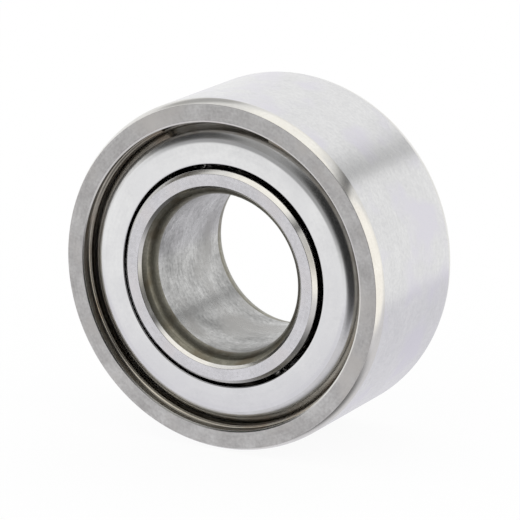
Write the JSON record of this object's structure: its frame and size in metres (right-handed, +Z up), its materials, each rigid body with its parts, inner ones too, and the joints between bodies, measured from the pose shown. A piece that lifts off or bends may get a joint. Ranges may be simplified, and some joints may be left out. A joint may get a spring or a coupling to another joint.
{
  "type": "ball bearing",
  "caption": "Deep-groove ball bearing: the inner ring turns on caged balls in the outer ring, behind dished shields held by sprung wire rings.",
  "frame": {"origin": "centre of the bearing, on its axis and midway between its side faces", "axes": "+Y along the bearing's axis, from the front face to the back face; +Z up, as the bearing stands on its rim"},
  "size_m": [0.011, 0.005, 0.011],
  "materials": {
    "ring_steel": "ground, satin",
    "ball_steel": "lapped, mirror",
    "shield_steel": "pressed sheet, bright",
    "spring_steel": "drawn wire, bright",
    "cage_steel": "pressed sheet, dull"
  },
  "bodies": {
    "outer": {"outer_ring": "ring_steel", "shield_front": "shield_steel", "shield_back": "shield_steel", "snap_ring_front": "spring_steel", "snap_ring_back": "spring_steel"},
    "inner": {"inner_ring": "ring_steel"},
    "cage": {"cage_half_front": "cage_steel", "cage_half_back": "cage_steel"},
    "ball_1": {"ball_1": "ball_steel"},
    "ball_2": {"ball_2": "ball_steel"},
    "ball_3": {"ball_3": "ball_steel"},
    "ball_4": {"ball_4": "ball_steel"},
    "ball_5": {"ball_5": "ball_steel"},
    "ball_6": {"ball_6": "ball_steel"},
    "ball_7": {"ball_7": "ball_steel"},
    "ball_8": {"ball_8": "ball_steel"}
  },
  "joints": [
    {"name": "inner_ring_spin", "type": "hinge", "parent": "outer", "child": "inner", "pos_m": [0, 0, 0], "axis": [0, 1, 0], "continuous": true},
    {"name": "cage_spin", "type": "hinge", "parent": "outer", "child": "cage", "pos_m": [0, 0, 0], "axis": [0, 1, 0], "continuous": true},
    {"name": "ball_1_spin", "type": "hinge", "parent": "cage", "child": "ball_1", "pos_m": [0.004, 0, 0], "axis": [0, 1, 0], "continuous": true},
    {"name": "ball_2_spin", "type": "hinge", "parent": "cage", "child": "ball_2", "pos_m": [0.00283, 0, 0.00283], "axis": [0, 1, 0], "continuous": true},
    {"name": "ball_3_spin", "type": "hinge", "parent": "cage", "child": "ball_3", "pos_m": [0, 0, 0.004], "axis": [0, 1, 0], "continuous": true},
    {"name": "ball_4_spin", "type": "hinge", "parent": "cage", "child": "ball_4", "pos_m": [-0.00283, 0, 0.00283], "axis": [0, 1, 0], "continuous": true},
    {"name": "ball_5_spin", "type": "hinge", "parent": "cage", "child": "ball_5", "pos_m": [-0.004, 0, 0], "axis": [0, 1, 0], "continuous": true},
    {"name": "ball_6_spin", "type": "hinge", "parent": "cage", "child": "ball_6", "pos_m": [-0.00283, 0, -0.00283], "axis": [0, 1, 0], "continuous": true},
    {"name": "ball_7_spin", "type": "hinge", "parent": "cage", "child": "ball_7", "pos_m": [0, 0, -0.004], "axis": [0, 1, 0], "continuous": true},
    {"name": "ball_8_spin", "type": "hinge", "parent": "cage", "child": "ball_8", "pos_m": [0.00283, 0, -0.00283], "axis": [0, 1, 0], "continuous": true}
  ],
  "couplings": [
    {"joint": "cage_spin", "follows": "inner_ring_spin", "ratio": 0.40078},
    {"joint": "ball_1_spin", "follows": "inner_ring_spin", "ratio": -2.4205},
    {"joint": "ball_2_spin", "follows": "inner_ring_spin", "ratio": -2.4205},
    {"joint": "ball_3_spin", "follows": "inner_ring_spin", "ratio": -2.4205},
    {"joint": "ball_4_spin", "follows": "inner_ring_spin", "ratio": -2.4205},
    {"joint": "ball_5_spin", "follows": "inner_ring_spin", "ratio": -2.4205},
    {"joint": "ball_6_spin", "follows": "inner_ring_spin", "ratio": -2.4205},
    {"joint": "ball_7_spin", "follows": "inner_ring_spin", "ratio": -2.4205},
    {"joint": "ball_8_spin", "follows": "inner_ring_spin", "ratio": -2.4205}
  ]
}
